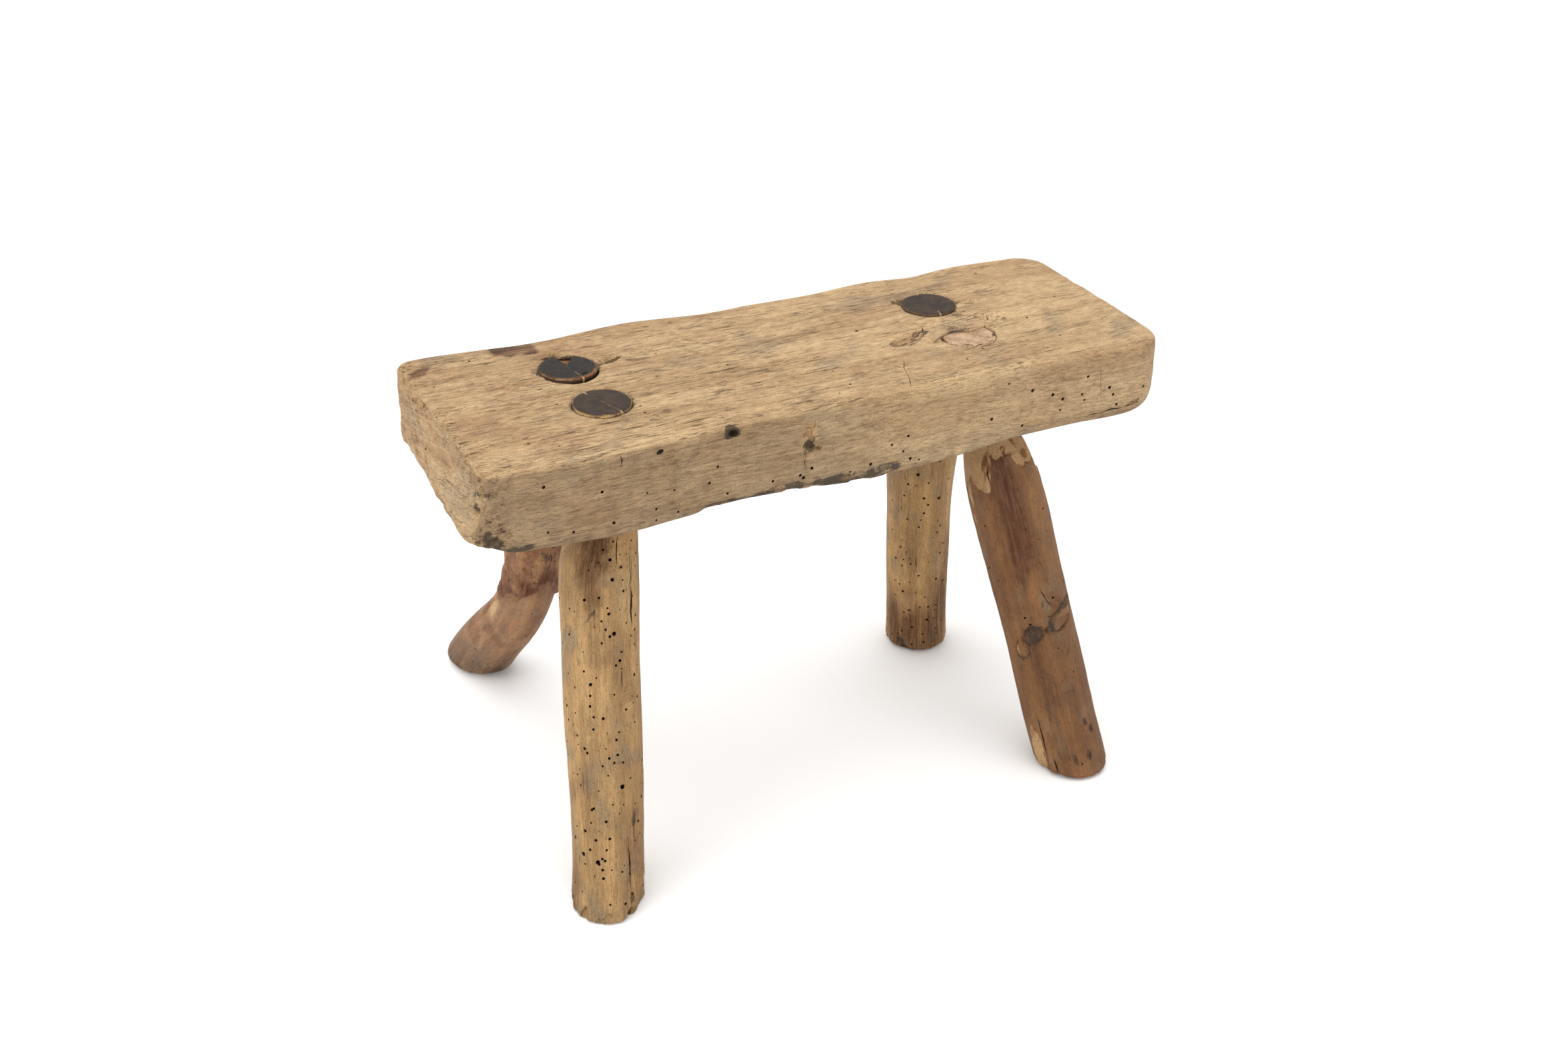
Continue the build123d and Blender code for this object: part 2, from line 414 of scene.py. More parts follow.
def wood(name, light, middle, deep, cap, fibrous):
    """Old wood. It reads what is painted on the points: the grain's own coordinates, and how
    stained, shaded, grey, red, pale, cracked and polished each place is, and where the growth
    rings of an end show instead of the grain. Besides real stains and weathering, the dark,
    grey and shade layers carry painted shade and painted light in some places. A fibrous wood
    shows long streaks; with less of that it looks like the smooth skin of a peeled branch."""
    blotchy = 1 - fibrous
    graph = Graph(name)
    at_end = graph.rise(graph.painted("end"), 0.48, 0.52)
    layouts = {0: at_end, 4: graph.painted("grain", "Vector"), 5: graph.painted("rings", "Vector")}
    grain = graph.add("Mix", layouts, 1, data_type="VECTOR")
    drift = {0: graph.noise(grain, 30, 110, detail=1.0, output=1), 1: (7.0, 7.0, 0.0), 2: grain}
    place = graph.add("VectorMath", drift, operation="MULTIPLY_ADD")
    broad = graph.noise(place, 14, 120, detail=3.0, roughness=0.6)
    streak = graph.noise(place, 1.7, 42, detail=5.0, roughness=0.66)
    fibre = graph.noise(place, 0.42, 6, detail=2.0)
    mottle = graph.noise(grain, 9, 14, detail=5.0, roughness=0.65)
    grit = graph.noise(grain, 0.7, 1.0, detail=3.0, roughness=0.6)
    dash = graph.noise(place, 0.5, 8.5, detail=1.0)
    split = graph.noise(place, 0.85, 28, detail=2.0)
    cluster = graph.noise(place, 11, 40, detail=2.0)

    graph.colour = graph.blend(graph.rise(broad, 0.36, 0.64), light, middle)
    graph.coat(graph.rise(mottle, 0.42, 0.66, top=0.5 * blotchy), deep)
    graph.coat(graph.rise(streak, 0.46, 0.72, top=0.55 * fibrous), deep)
    graph.coat(graph.broken("grey", mottle, 0.3, 0.66, 0.45), GREY)
    graph.coat(graph.broken("red", mottle, 0.36, 0.58, 0.2), RED)
    pale = graph.math("ADD", graph.painted("pale"), graph.rise(mottle, 0.3, 0.7, -0.25, 0.25))
    graph.coat(graph.rise(pale, 0.35, 0.65, 0.0, 0.85), PALE)
    graph.coat(graph.rise(fibre, 0.4, 0.75, top=0.25 + 0.4 * fibrous), LINE_SHADE, "MULTIPLY")
    graph.coat(graph.rise(grit, 0.45, 0.75, top=0.5), GRIT_SHADE, "MULTIPLY")
    # The shade layer, multiplied in: brown stains, and painted shade such as the plank's shadow on a leg
    # and the front face's darker left.
    graph.coat(graph.broken("shade", streak, 0.3, 0.7, 0.55), BROWN_SHADE, "MULTIPLY")

    density = graph.math("ADD", graph.painted("fissures"), graph.rise(cluster, 0.3, 0.7, -0.5, 0.5))
    thin = graph.math("ADD", dash, graph.rise(density, 0.0, 1.0, -0.16, 0.05))
    wide = graph.math("ADD", split, graph.rise(density, 0.0, 1.0, -0.14, 0.03))
    fissure = graph.math("MAXIMUM", graph.rise(thin, 0.685, 0.725), graph.rise(wide, 0.68, 0.72))
    # The dark layer: stains and dirt, and painted shade in the mortises, on the tenons' sides and under
    # the plank.
    darkening = graph.painted("dark")
    for pattern, reach in ((mottle, 0.3), (streak, 0.25), (grit, 0.2)):
        darkening = graph.math("ADD", darkening, graph.rise(pattern, 0.2, 0.8, -reach, reach))
    graph.coat(graph.rise(darkening, 0.38, 0.78, 0.0, 0.82), DARK)
    graph.coat(graph.math("MULTIPLY", fissure, 0.85), DARK)

    worn_end = graph.blend(graph.rise(mottle, 0.38, 0.62), cap[0], cap[1])
    worn_end = graph.blend(graph.rise(grit, 0.5, 0.75, 0.0, 0.5), worn_end, cap[2])
    graph.coat(graph.painted("polish"), worn_end)
    height = graph.total(
        (streak, 0.15 + 0.6 * fibrous),
        (fibre, 0.12 + 0.4 * fibrous),
        (mottle, 2.5 * blotchy),
        (grit, 0.35),
        (fissure, -0.35),
    )
    return graph.finish(graph.rise(streak, 0.3, 0.7, 0.66, 0.84), height)


def hole_wood(name):
    """The inside of a wormhole or crack: dark, dusty wood, partly its own dirt and partly painted shade.
    """
    graph = Graph(name)
    place = graph.add("TexCoord", {}, "Object")
    dust = graph.add("TexNoise", {"Vector": place, "Scale": 900.0, "Detail": 3.0})
    graph.colour = graph.blend(graph.rise(dust, 0.35, 0.65), tint(30, 21, 15), tint(62, 44, 30))
    return graph.finish(graph.rise(dust, 0.3, 0.7, 0.85, 0.95), dust)


DARK_END = (tint(42, 32, 25), tint(60, 46, 35), tint(31, 24, 19))
BLACK_END = (tint(28, 23, 19), tint(38, 31, 25), tint(48, 38, 30))
GREY_END = (tint(186, 158, 128), tint(152, 122, 94), tint(104, 78, 58))
MATERIALS = {
    name: wood(name, *(tint(*tone) for tone in tones), cap, fibrous)
    for name, tones, cap, fibrous in (
        ("seat_wood", ((200, 170, 127), (181, 149, 108), (130, 100, 68)), DARK_END, 1.0),
        ("pale_leg_wood", ((194, 156, 103), (165, 129, 83), (115, 84, 50)), DARK_END, 0.5),
        ("brown_leg_wood", ((135, 92, 51), (111, 72, 38), (78, 49, 26)), GREY_END, 0.22),
        ("bark_leg_wood", ((169, 125, 86), (140, 98, 64), (90, 61, 42)), BLACK_END, 0.12),
        ("wedge_wood", ((150, 116, 82), (118, 86, 58), (80, 54, 36)), DARK_END, 0.6),
    )
}
HOLE_WOOD = hole_wood("hole_wood")


def dress(piece, slot):
    """Gives a piece its wood, and the dark wood that its holes and cracks take."""
    piece.data.materials.clear()
    piece.data.materials.append(MATERIALS[slot])
    piece.data.materials.append(HOLE_WOOD)


def settle(piece, node):
    """Smooth shading with crisp edges, and the piece's place in the model."""
    piece.data.polygons.foreach_set("use_smooth", [True] * len(piece.data.polygons))
    piece.data.set_sharp_from_angle(angle=math.radians(SHARP_ANGLE))
    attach(piece, "root")
    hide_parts(node)


# ---- The plank ----------------------------------------------------------------------
# On the sitting face places are (x, y); on the front face they are (x, depth below the top).
LIGHT_TENON = (108, -22)
TENON_CENTRES = ((-125, -20), (-126, 31), (110, 27), LIGHT_TENON)
HOLLOWS = (  # at, half sizes, turn, depth
    ((72, -13), (17.5, 7), 22, 1.5),
    ((131, -5), (8, 3), -50, 1.6),
    ((86, -24), (6, 3), 0, 0.8),
    ((98, 39), (9, 4.5), 10, 3.0),
    ((-130, 51), (8, 4), -8, 3.2),
    ((-102, 33), (9, 5), 15, 2.8),
    ((-144, 34), (3, 5), 0, 3.0),
    ((135, 21), (8, 3), -25, 2.2),
)
TOP_HOLES = (
    (-192, 70), (-203, 38), (-107, -31), (-108, -40), (-103, -46), (106, -43), (90, -52), (155, -15),
    (164, 60), (0, -63), (11, -55),
)
FRONT_HOLES = (
    (-181, 11), (-149, 21), (-123, 28), (-107, 30), (-86, 31), (-81, 22), (-180, 38), (-166, 41),
    (-143, 41), (-118, 39), (-105, 44), (-118, 46), (-75, 40), (-47, 39), (96, 31), (40, 30), (29, 33),
    (37, 39), (42, 45), (48, 47), (15, 42), (2, 44), (-23, 36), (-30, 39), (-28, 41), (106, 10),
    (122, 17), (136, 22), (143, 26), (142, 33), (117, 39), (156, 25), (158, 29), (159, 14), (175, 24),
    (178, 29), (181, 36), (200, 28),
)
NOTCH = (  # at on the front face, half sizes
    (-24, 9, (3.4, 3.2, 1.2)),
    (-26, 14, (2.6, 3.4, 1.3)),
    (-24.5, 20, (3.6, 3.8, 3.4)),
    (-20.5, 24.5, (3.4, 1.7, 2.4)),
    (-27, 26, (1.6, 2.4, 1.2)),
)
KNOT = ((72, -13), (17, 6.5), 22)
KNOT_RIM = ((57, -15), (60, -19), (66, -21), (73, -20), (79, -16.5), (84, -12))
LIP = (
    (84, -24), (88, -21.5), (93, -18.8), (98, -16.4), (103, -16), (108, -17.4), (113.5, -18.9),
    (119, -17.3), (124, -15.8), (128, -13), (127, -7), (123, -3.5), (117, -2.2), (111, -2.3),
    (103, -2.7), (96, -4.5), (91, -8), (87, -13), (84.5, -18),
)


def facing(normals, low):
    """How squarely points face up, to the front and to the left, each from 0 to 1."""
    return [smooth(low, 0.9, share) for share in (normals[:, 2], -normals[:, 1], -normals[:, 0])]


def near_tenons(x, y):
    """Each point's distance from the middle of the nearest tenon."""
    return np.min([np.hypot(x - at[0], y - at[1]) for at in TENON_CENTRES], axis=0)


def end_slots(points, x, z):
    """Short slots where the grain of the sitting face runs out over the left end's arris."""
    where = smooth(-196, -211, x) * smooth(-13, -4, z)
    return smooth(0.08, 0.4, lumps(points, (70, 3.0, 14), 16)) * where


def end_pits(points):
    """Pits in the worn end grain."""
    return smooth(0.2, 0.5, lumps(points, (6, 7, 3.5), 24))


def corner_breaks(points, x, y, z):
    """The bruised upright arris at the plank's front left."""
    where = smooth(-196, -207, x) * smooth(-58, -68, y) * smooth(0, -8, z) * smooth(-222, -215, x)
    return smooth(-0.1, 0.35, lumps(points, (3.5, 3.5, 4.5), 25)) * where


def bark_strip(x, y, z):
    """The strip of dark under-bark along the foot of the front face."""
    wave = lumps(np.stack([x, 0 * x, 0 * x], axis=1), 26, 19)
    top = -44 + 2.2 * wave + 1.2 * lumps(np.stack([x, 0 * x, z], axis=1), (7, 9, 5), 27)
    return smooth(-95, -88, x) * smooth(44, 30, x) * smooth(top + 0.8, top - 0.8, z) * smooth(-60, -68, y)


def shape_seat(points, normals):
    """The plank's wear: grain standing proud, hollows, a twisted left end and broken arrises."""
    x, y = points[:, 0], points[:, 1]
    z = points[:, 2] - SEAT_TOP
    on_top, on_front, on_left = facing(normals, 0.5)
    under = smooth(0.5, 0.9, -normals[:, 2])
    push = 0.5 * lumps(points, (90, 40, 40), 11) + 0.25 * lumps(points, (30, 9, 9), 12)
    furrows = smooth(0.05, 0.7, lumps(points, (42, 3.8, 60), 13))
    worn = 0.35 + 0.65 * smooth(-40, -190, x)
    push -= 0.55 * furrows * on_top * worn
    push -= 1.4 * end_slots(points, x, z) + 1.6 * corner_breaks(points, x, y, z)
    push += 0.18 * lumps(points, (34, 30, 3.6), 14) * on_front
    push += (0.8 * lumps(points, (10, 9, 7), 15) - 1.2 * end_pits(points)) * on_left
    push += 0.7 * lumps(points, (34, 14, 30), 17) * under
    ragged = 0.3 * lumps(points, 4.5, 18)
    for at, size, turn, depth in HOLLOWS:
        push -= depth * patch(x, y, at, size, turn, ragged) * on_top
    push -= 0.9 * bark_strip(x, y, z) * (0.6 + 0.9 * smooth(-0.1, 0.3, lumps(points, (9, 4, 3), 20)))
    around = np.hypot(x - LIGHT_TENON[0], y - LIGHT_TENON[1])
    tongue = smooth(18, 21, around) * smooth(31, 26, around) * smooth(-24, -14, y) * smooth(140, 130, x)
    push += 0.3 * tongue * on_top
    crater = patch(x, y, *KNOT, ragged) * on_top
    push += 1.0 * crater * lumps(points, (5, 2.6, 6), 26)
    right_corner = smooth(188, 214, x) * smooth(-30, -50, z) * smooth(-40, -75, y)
    left_corner = smooth(-196, -218, x) * smooth(-26, -50, z) * smooth(-50, -78, y)
    push -= 3.2 * right_corner + 5.0 * left_corner
    moved = points + normals * push[:, None]
    for at in TENON_CENTRES:
        away = moved[:, :2] - at
        distance = np.hypot(away[:, 0], away[:, 1])
        close = 0.9 * smooth(23, 18.5, distance) * smooth(-9, -5, z) * smooth(0.5, 3, z + 5)
        moved[:, :2] -= away / distance[:, None] * close[:, None]

    back_share = smooth(-70, 70, y)
    low_share = smooth(0, -50, z)
    twist = (1 - low_share) * (3.0 - 0.8 * back_share) + low_share * 4.5 * back_share
    moved[:, 0] += twist * smooth(-150, -216, x)
    return moved


def grow_lip(piece):
    """Joins on the lip of wood that has grown over the far half of the light tenon."""
    middle = (108, -11)
    growth = Cutters(piece)
    rings = []
    for level, size in ((-1.8, 1.0), (0.35, 1.0), (0.8, 0.95), (1.0, 0.86)):
        ring = []
        for x, y in LIP:
            x, y = middle[0] + (x - middle[0]) * size, middle[1] + (y - middle[1]) * size
            ring.append(Vector((x, y, SEAT_TOP + level - 0.05 * (y + 18))))
        rings.append(ring)
    growth.loft(rings, 0)
    growth.cut("UNION")


def cut_seat(piece):
    """Wormholes, drying cracks, pits and chips in the plank."""
    cutters = Cutters(piece, 7)
    chance = cutters.chance

    def on_top(x, y):
        return cutters.strike((x, y, SEAT_TOP + 40), (0, 0, -1))

    def on_front(x, depth):
        return cutters.strike((x, -130, SEAT_TOP - depth), (0, 1, 0))

    def anywhere(start, ahead, spread):
        """A finder of random spots that lie the way ahead from start, spread about it."""

        def find():
            at = [middle + chance.uniform(-reach, reach) for middle, reach in zip(start, spread)]
            return cutters.strike(at, ahead)

        return find

    def top_cracks(*cracks):
        for width, depth, places in cracks:
            cutters.crack([on_top(*at) for at in places], width, depth)

    for x, y in TOP_HOLES:
        cutters.wormhole(on_top(x, y), chance.uniform(0.5, 0.9))
    for x, depth in FRONT_HOLES:
        cutters.wormhole(on_front(x, depth), chance.uniform(0.65, 1.1))
    cutters.wormhole(on_top(50, 10), 1.1)
    for count, gap, start, ahead, spread in (
        (14, 12, (0, 0, 300), (0, 0, -1), (200, 66, 0)),
        (40, 7, (0, 130, 245), (0, -1, 0), (200, 0, 22)),
        (60, 7, (0, 0, 150), (0, 0, 1), (200, 66, 0)),
        (9, 8, (-300, 0, 245), (1, 0, 0), (0, 66, 20)),
        (14, 8, (300, 0, 245), (-1, 0, 0), (0, 66, 20)),
    ):
        cutters.scatter(anywhere(start, ahead, spread), count, gap, (0.4, 0.8))

    cutters.chip(on_front(-72, 4), (1, 0, 0), (4.4, 3.2, 2.0), 0, 0.25)
    cutters.chip(on_front(-71, 4.5), (1, 0, 0), (2.8, 2.2, 4.0), 1, 0.3)
    cutters.chip(on_front(-115, 5), (1, 0, 0.3), (2.2, 1.3, 1.4), 1, 0.4)
    cutters.crack([on_front(-138, 2), on_front(-137, 5), on_front(-138, 9)], 0.8, 1.4)
    for x, depth, size in NOTCH:
        cutters.chip(on_front(x, depth), (1, 0, 0), size, 0, 1.7)
    cutters.crack([on_front(-27, 28), on_front(-27.5, 31), on_front(-27, 35)], 0.6, 1.0)
    for start, end, width in ((160, 172, 0.7), (170, 186, 1.0), (187, 198, 1.4)):
        places = [start + (end - start) * step / 4 for step in range(5)]
        spots = [on_front(x, 39 - (x - 178) * 0.08 + chance.uniform(-0.6, 0.6)) for x in places]
        cutters.crack(spots, width, 2.5)
    cutters.chip(on_front(194, 37), (1, 0, 0.3), (4, 1.8, 1.8))
    cutters.crack([on_front(167 + 0.6 * step, 8 + 5 * step) for step in range(6)], 0.25, 0.35)
    top_cracks(
        (0.4, 0.5, ((57, -33), (54, -41), (50, -48), (46, -61), (41, -72))),
        (0.25, 0.3, ((46.6, -44), (50, -48), (52, -60), (52, -71))),
    )
    for _ in range(120):
        x, y = chance.triangular(-205, 200, -150), chance.uniform(-68, 68)
        if near_tenons(x, y) < 26:
            continue
        length = chance.uniform(6, 24)
        slope = chance.uniform(-0.05, 0.05)
        steps = [length * step / 4 for step in range(5)]
        spots = [on_top(x + step, y + slope * step + chance.uniform(-0.3, 0.3)) for step in steps]
        cutters.crack(spots, chance.uniform(0.3, 0.6), chance.uniform(0.6, 1.3))
    for x, y in ((62, -14), (67, -17), (70, -11), (75, -15), (79, -10), (84, -7)):
        cutters.chip(on_top(x, y), (1, 0.4, 0), (4.5, 1.1, 0.7), 0, 1.5)
    top_cracks(
        (0.5, 1.2, KNOT_RIM),
        (0.5, 1.2, ((80, -13), (82, -9), (86, -7.5), (88, -3), (91, -1))),
        (0.4, 0.8, ((97, -3.5), (104, -2), (112, -1.5), (120, -1.6), (131, -0.5))),
        (0.6, 1.0, ((134, -1), (133, -5), (129, -9))),
    )
    for x, y, size in ((-131, 51, (5, 2.6, 3)), (-98, 34, (6, 2, 2.4)), (93, 39, (4, 2.4, 3))):
        cutters.chip(on_top(x, y), (1, -0.1, 0), size)
    cutters.chip(on_top(130, 22.5), (1, -0.4, 0), (3.5, 1.6, 2.5))
    cutters.cut()


def paint_seat(piece):
    """Where the plank is stained, grey, red, pale and cracked, and where light and shade are painted."""
    points, normals = read_points(piece)
    x, y = points[:, 0], points[:, 1]
    z = points[:, 2] - SEAT_TOP
    on_top, on_front, on_left = facing(normals, 0.4)
    soft = lumps(points, 30, 21)
    fine = lumps(points, 7, 22)
    bands = lumps(points, (40, 60, 9), 28)
    ragged = 0.25 * fine

    # The grain flows round a place between the two right tenons.
    across, along = y + 4, (x - 106) / 2.6
    squeeze = 1 - 100 / np.maximum(across**2 + along**2, 170)
    bent = np.where(np.abs(x - 106) < 90, across * squeeze - 4, y)
    grain_y = y + (bent - y) * smooth(-25, 0, z)
    paint(piece, "grain", np.stack([grain_y, z, x], axis=1))
    paint(piece, "rings", np.stack([1.8 * (z + 0.25 * y), x, 0.8 * y], axis=1))
    paint(piece, "end", smooth(0.45, 0.9, np.abs(normals[:, 0]) + 0.12 * fine))

    mouth = near_tenons(x, y)
    front_foot = smooth(-56, -68, y)
    crater = patch(x, y, *KNOT, ragged) * on_top
    around = np.hypot(x - LIGHT_TENON[0], y - LIGHT_TENON[1])
    tongue_rim = smooth(3, 0.5, np.abs(around - 29 - 2 * fine)) * smooth(-12, 0, y) * smooth(95, 110, x)
    brown = strongest(
        patch(x, y, (-147, 68), (16, 11), -8, 2 * ragged, 0.4) * on_top,
        0.8 * patch(x, y, (-205, 61), (11, 5), 35, ragged, 0.4) * on_top,
    )
    # The first three hollows, about the knot, aren't stained; those beside the mortises are.
    dark = strongest(
        0.5 * brown,
        # Dark round each mortise: a dirty joint on the top, and painted shade on the mortise walls below
        # it.
        0.5 * smooth(20.0, 17.5, mouth + 2 * fine) * smooth(-14, -1, z),
        smooth(-0.8, -2.5, z) * smooth(20, 18.5, mouth) * (z > -50),
        0.95 * patch(x, z, (-72.5, -4), (6, 4.8), 0, ragged, 0.4) * (y < -60),
        0.95 * patch(x, z, (-24, -22), (5, 5), 0, ragged) * (y < -60),
        0.45 * patch(x, z, (-25, -17), (7, 12), 0, ragged) * on_front,
        bark_strip(x, y, z) * (0.6 + 0.3 * smooth(-0.2, 0.3, fine)),
        0.5 * end_slots(points, x, z),
        0.4 * end_pits(points) * on_left,
        0.7 * corner_breaks(points, x, y, z),
        0.95 * patch(x, z, (-210, -42), (10, 13), 20, 2 * ragged) * front_foot,
        0.95 * patch(x, z, (-200, -47), (16, 5), 8, 2 * ragged) * front_foot,
        0.75 * outline(x, y, *KNOT, 2 * ragged, 0.3) * smooth(-6, -12, y - 0.4 * (x - 72)) * on_top,
        0.6 * tongue_rim * smooth(142, 134, x) * on_top,
        *(0.75 * patch(x, y, *hollow[:3], ragged) * on_top for hollow in HOLLOWS[3:]),
        # Painted shade: faces turned down, under the plank, are darkened.
        0.5 * smooth(-0.4, -0.8, normals[:, 2]) * smooth(-0.2, 0.5, soft),
    )

    grey = 0.1 + 0.45 * (1 - on_top) * (0.75 + 0.6 * soft)
    grey = strongest(grey, 0.5 * patch(x, y, (108, -8), (29, 12), 4, ragged) * on_top)
    grey = strongest(
        # Painted light: the front face is less grey right of the middle, so it looks more brightly lit.
        grey * (1 - 0.45 * on_front * smooth(0, 30, x) * smooth(-46, -30, z)),
        0.75 * smooth(-30, -46, z) * smooth(-0.1, 0.5, fine) * on_front,
        0.5 * smooth(0.1, 0.6, soft) * on_top,
    )
    red = strongest(
        0.35 * smooth(0.1, 0.6, lumps(points, 40, 23)) * on_top * smooth(0, -120, x),
        0.45 * smooth(0.0, 0.5, bands) * on_left,
        0.6 * brown,
        0.6 * crater,
    )
    pale = strongest(
        crater * (0.5 + 0.5 * fine),
        patch(x, z, (-25, -14), (8, 9), 0, ragged) * on_front,
        0.5 * on_left * smooth(-0.3, 0.4, soft),
    )
    arris = smooth(0.85, 0.6, np.abs(normals).max(axis=1))
    shade = (
        0.2 * smooth(-0.1, 0.6, fine)
        + 0.35 * arris * smooth(-0.2, 0.4, soft)
        # Painted shade on faces that turn down along the plank's lower edge.
        + 0.35 * smooth(0.2, -0.6, normals[:, 2]) * smooth(-35, -50, z)
        + 0.95 * brown
        + 0.15 * on_front * smooth(0.5, -0.3, soft)
        # Painted shade and light: the front face darker towards its left, lighter right of the middle.
        + 0.22 * on_front * smooth(20, -60, x)
        - 0.12 * on_front * smooth(10, 50, x) * smooth(150, 110, x)
        + 0.5 * crater * smooth(-0.2, 0.4, lumps(points, (6, 2.6, 6), 26))
    )
    fissures = 0.15 + on_top * (0.55 + 0.4 * smooth(20, -190, x) + 0.3 * soft) + 0.5 * on_left
    paint_layers(
        piece,
        dark=dark,
        grey=np.where(on_left > 0.5, 0.35 * smooth(0.0, -0.4, bands), grey),
        red=red,
        pale=pale,
        shade=shade,
        fissures=fissures - 0.3 * on_top * smooth(120, 180, x),
    )


def make_seat():
    piece = even_copy("seat_plank", SEAT_VOXEL)
    points, normals = read_points(piece)
    write_points(piece, shape_seat(points, normals))
    dress(piece, "seat_wood")
    grow_lip(piece)
    cut_seat(piece)
    paint_seat(piece)
    settle(piece, "seat_plank")


# ---- Legs ---------------------------------------------------------------------------
class Leg:
    """A leg's piece with its own coordinates: the turn about its centreline, in degrees from
    the camera's side and growing to the right in the picture, and the height from the floor."""

    def __init__(self, node, seed):
        self.seed = seed
        self.piece = even_copy(node, LEG_VOXEL)
        points, _ = read_points(self.piece)
        self.heights = np.arange(3.0, points[:, 2].max() - 1, 5.0)
        middles = []
        for height in self.heights:
            slab = points[np.abs(points[:, 2] - height) < 2, :2]
            middles.append((slab.min(axis=0) + slab.max(axis=0)) / 2)
        self.middles = np.array(middles)
        climbs = np.hypot(np.diff(self.heights), np.linalg.norm(np.diff(self.middles, axis=0), axis=1))
        self.lengths = np.concatenate([[0], np.cumsum(climbs)])
        self.look()
        self.even_chart = (self.turn, self.distance, self.height)

    def middle(self, height):
        """Where the centreline is in X and Y at a height, or at many."""
        return [np.interp(height, self.heights, self.middles[:, axis]) for axis in (0, 1)]

    def look(self):
        """Reads the piece's points as they are now, and each one's turn, height and distance
        from the centreline. Until ragged is set, patches and outlines have smooth rims."""
        self.points, self.normals = read_points(self.piece)
        self.height = self.points[:, 2]
        self.out = self.points[:, :2].T - self.middle(self.height)
        self.turn = (np.degrees(np.arctan2(self.out[1], self.out[0])) - VIEW_TURN + 180) % 360 - 180
        self.distance = np.hypot(*self.out)
        self.ragged = 0.0

    def lumps(self, cell, seed):
        return lumps(self.points, cell, seed)

    def patch(self, at, size, turn=0.0, edge=0.6):
        return patch(self.turn, self.height, at, size, turn, self.ragged, edge)

    def outline(self, at, size, turn=0.0, width=0.2):
        return outline(self.turn, self.height, at, size, turn, self.ragged, width)

    def stains(self, *marks):
        """The strongest of several patches. Each has a strength, and what patch() takes."""
        return strongest(*(strength * self.patch(*mark) for strength, *mark in marks))

    def radii_beside(self, turn):
        """The leg's radius on one side before it was worked, at each of its heights."""
        turns, distance, height = self.even_chart
        beside = np.abs((turns - turn + 180) % 360 - 180) < 12
        return [distance[beside & (np.abs(height - level) < 4)].mean() for level in self.heights]

    def spot(self, turn, height):
        """The place on the surface at a turn and height, for the cutters."""
        angle = math.radians(turn + VIEW_TURN)
        out = Vector((math.cos(angle), math.sin(angle), 0))
        return self.cutters.strike(Vector((*self.middle(height), height)) + out * 45, -out)

    def wormholes(self, radius, *places):
        for turn, height in places:
            size = radius * self.cutters.chance.uniform(0.85, 1.15)
            self.cutters.wormhole(self.spot(turn, height), size)

    def scatter(self, count, low, high, radii, gap):
        """Random wormholes all round, between two heights."""
        chance = self.cutters.chance

        def find():
            return self.spot(chance.uniform(-180, 180), chance.uniform(low, high))

        self.cutters.scatter(find, count, gap, radii)

    def crack(self, width, depth, *places):
        """A crack through places given as turn and height, with a spot every few millimetres."""
        spots = []
        for (turn, height), (next_turn, next_height) in itertools.pairwise(places):
            steps = max(1, round(abs(next_height - height) / 3))
            for step in range(steps):
                share = step / steps
                wander = 1.5 * perlin.noise((height, step, 0.5))
                at = turn + (next_turn - turn) * share + wander
                spots.append(self.spot(at, height + (next_height - height) * share))
        spots.append(self.spot(*places[-1]))
        self.cutters.crack(spots, width, depth)

    def chip(self, turn, height, size, dark=0):
        """A chip that is longest up the leg."""
        self.cutters.chip(self.spot(turn, height), (0, 0, 1), size, dark)

    def paint(self, layers, knot):
        """Stores the grain's coordinates, which flow round the knot, and the painted layers."""
        dx, dy = self.out
        if knot:
            at, size = knot
            across = np.radians((self.turn - at[0] + 180) % 360 - 180) * self.distance
            upward = (self.height - at[1]) / 2.2
            bend = across * size**2 / np.maximum(across**2 + upward**2, size**2)
            angle = np.radians(self.turn + VIEW_TURN) - bend / np.maximum(self.distance, 1)
            dx, dy = self.distance * np.cos(angle), self.distance * np.sin(angle)
        along = np.interp(self.height, self.heights, self.lengths)
        paint(self.piece, "grain", np.stack([dx, dy, along], axis=1))
        upward = smooth(0.3, 0.7, self.normals[:, 2])
        core = self.distance < TENON_RADIUS - 3
        # A thin ring of the leg's own wood is left round the dark end: a painted highlight on its chamfer.
        rim = layers.pop("rim", TENON_RADIUS - 0.9) + 0.4 * self.lumps(5, 31)
        end = smooth(SEAT_TOP - 3.5, SEAT_TOP - 2.5, self.height) * np.maximum(upward, core)
        layers["polish"] = end * smooth(rim + 0.5, rim - 0.3, self.distance)
        # Painted shade: a tenon's sides, in its mortise and up to 1.5 mm above the plank, are darkened.
        tenon_side_shade = smooth(SEAT_TOP + 1.5, SEAT_TOP + 0.5, self.height) * (self.height > SEAT_TOP - 20)
        layers["dark"] = strongest(layers["dark"], tenon_side_shade * (1 - upward) * ~core)
        paint_layers(self.piece, **layers)


